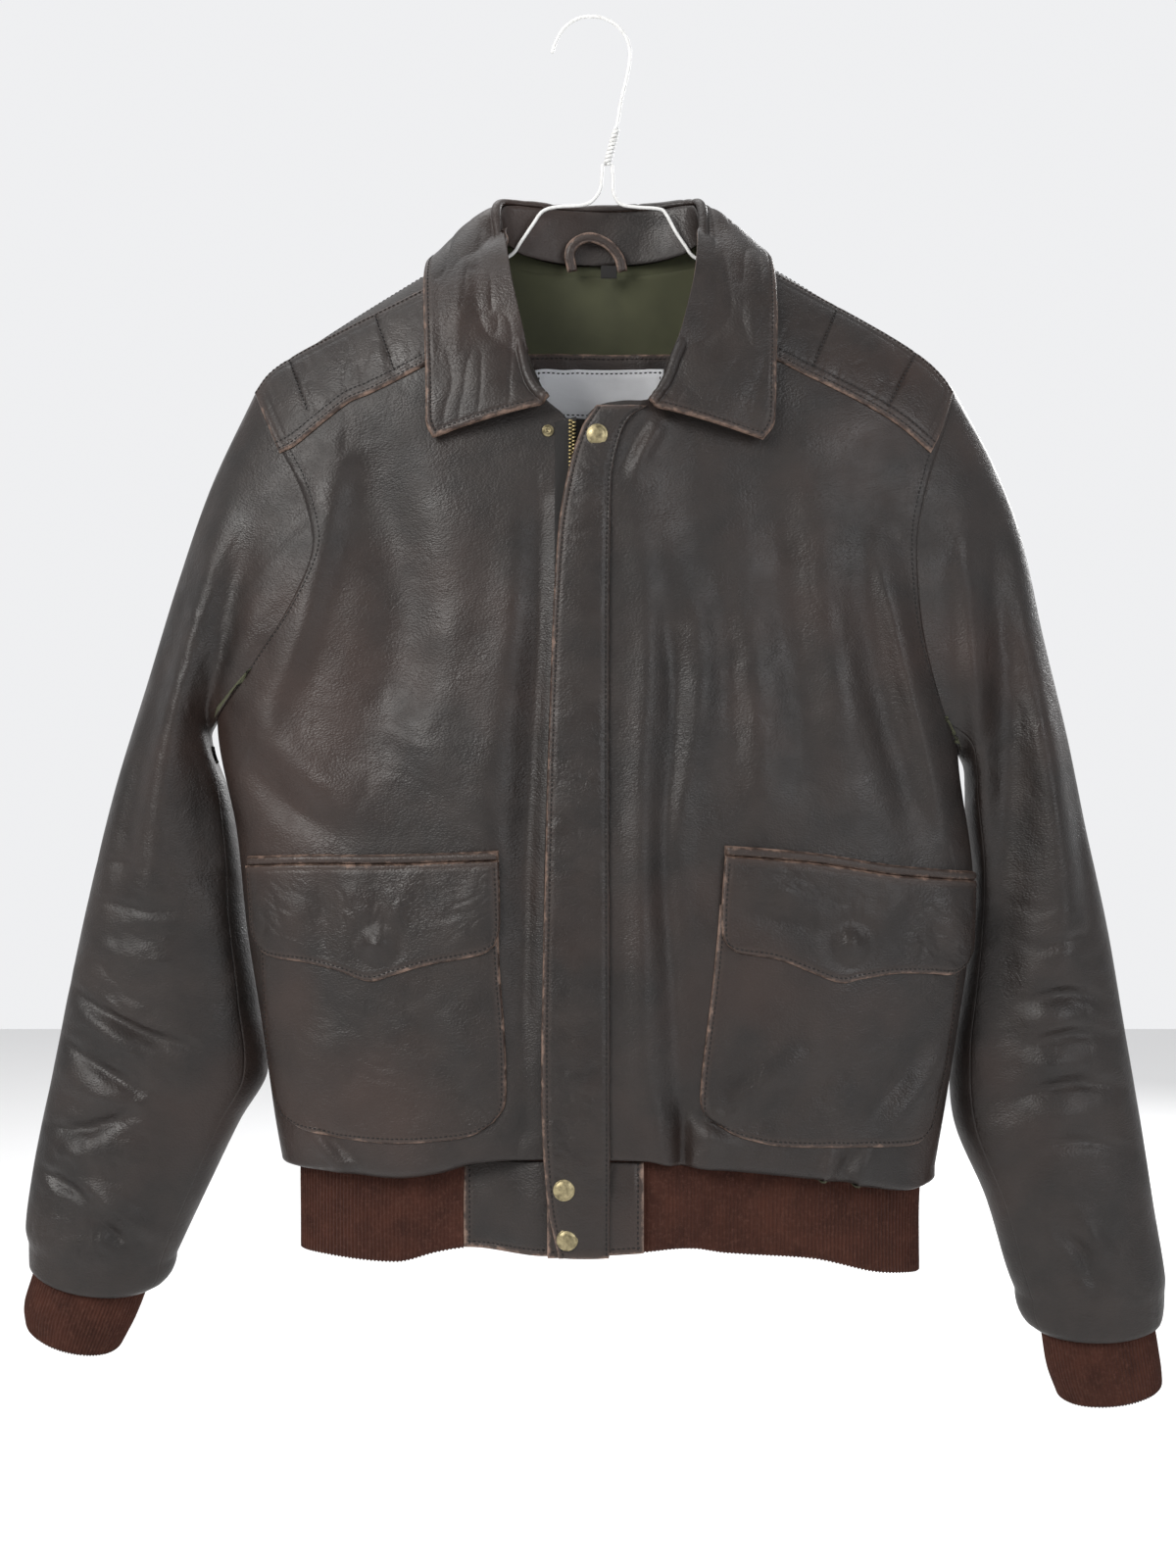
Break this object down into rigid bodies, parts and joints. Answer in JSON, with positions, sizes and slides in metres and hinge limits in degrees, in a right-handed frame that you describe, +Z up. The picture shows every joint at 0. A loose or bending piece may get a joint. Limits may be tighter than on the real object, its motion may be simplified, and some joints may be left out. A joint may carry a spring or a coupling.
{
  "type": "leather jacket on wire hanger",
  "caption": "Waist-length leather flight jacket with knit cuffs and waistband, flap pockets and a zip under a wind flap, hanging empty on a wire hanger",
  "frame": {"origin": "inside top of the hanger's hook, where a rail or a wall hook carries it", "axes": "+Z up, +X towards the wearer's left, the front faces -Y"},
  "size_m": [0.7451, 0.1345, 0.9042],
  "materials": {
    "leather": "dark brown full-grain cowhide, pebbled, worn soft, with rubbed tan edges",
    "knit": "ribbed wool knit, reddish brown, slightly fuzzy",
    "lining": "plain-weave cotton lining, olive",
    "label": "woven white label with no print",
    "tape": "woven zip tape and tab, near black",
    "zip_brass": "aged brass zip teeth",
    "snap_brass": "antique brass snap caps, lightly scratched",
    "wire": "white coated steel wire"
  },
  "bodies": {
    "root": {"front_right": "leather", "front_left": "leather", "back": "leather", "sleeve_right_top": "leather", "sleeve_right_under": "leather", "sleeve_left_top": "leather", "sleeve_left_under": "leather", "cuff_right": "knit", "cuff_left": "knit", "waist_rib": "knit", "waist_end_right": "leather", "waist_end_left": "leather", "pocket_right": "leather", "pocket_flap_right": "leather", "pocket_welt_right": "leather", "pocket_left": "leather", "pocket_flap_left": "leather", "pocket_welt_left": "leather", "epaulette_right": "leather", "epaulette_left": "leather", "wind_flap": "leather", "zip_tape": "tape", "zip_chain": "zip_brass", "snap_cap_top": "snap_brass", "snap_cap_waist": "snap_brass", "snap_cap_low": "snap_brass", "snap_stud": "snap_brass", "collar_leaf": "leather", "collar_stand": "leather", "neck_lining": "lining", "label_patch": "leather", "neck_label": "label", "hanging_loop": "leather", "size_tab": "tape", "hanger_hook": "wire", "hanger_twist": "wire", "hanger_shoulders": "wire"}
  },
  "joints": []
}
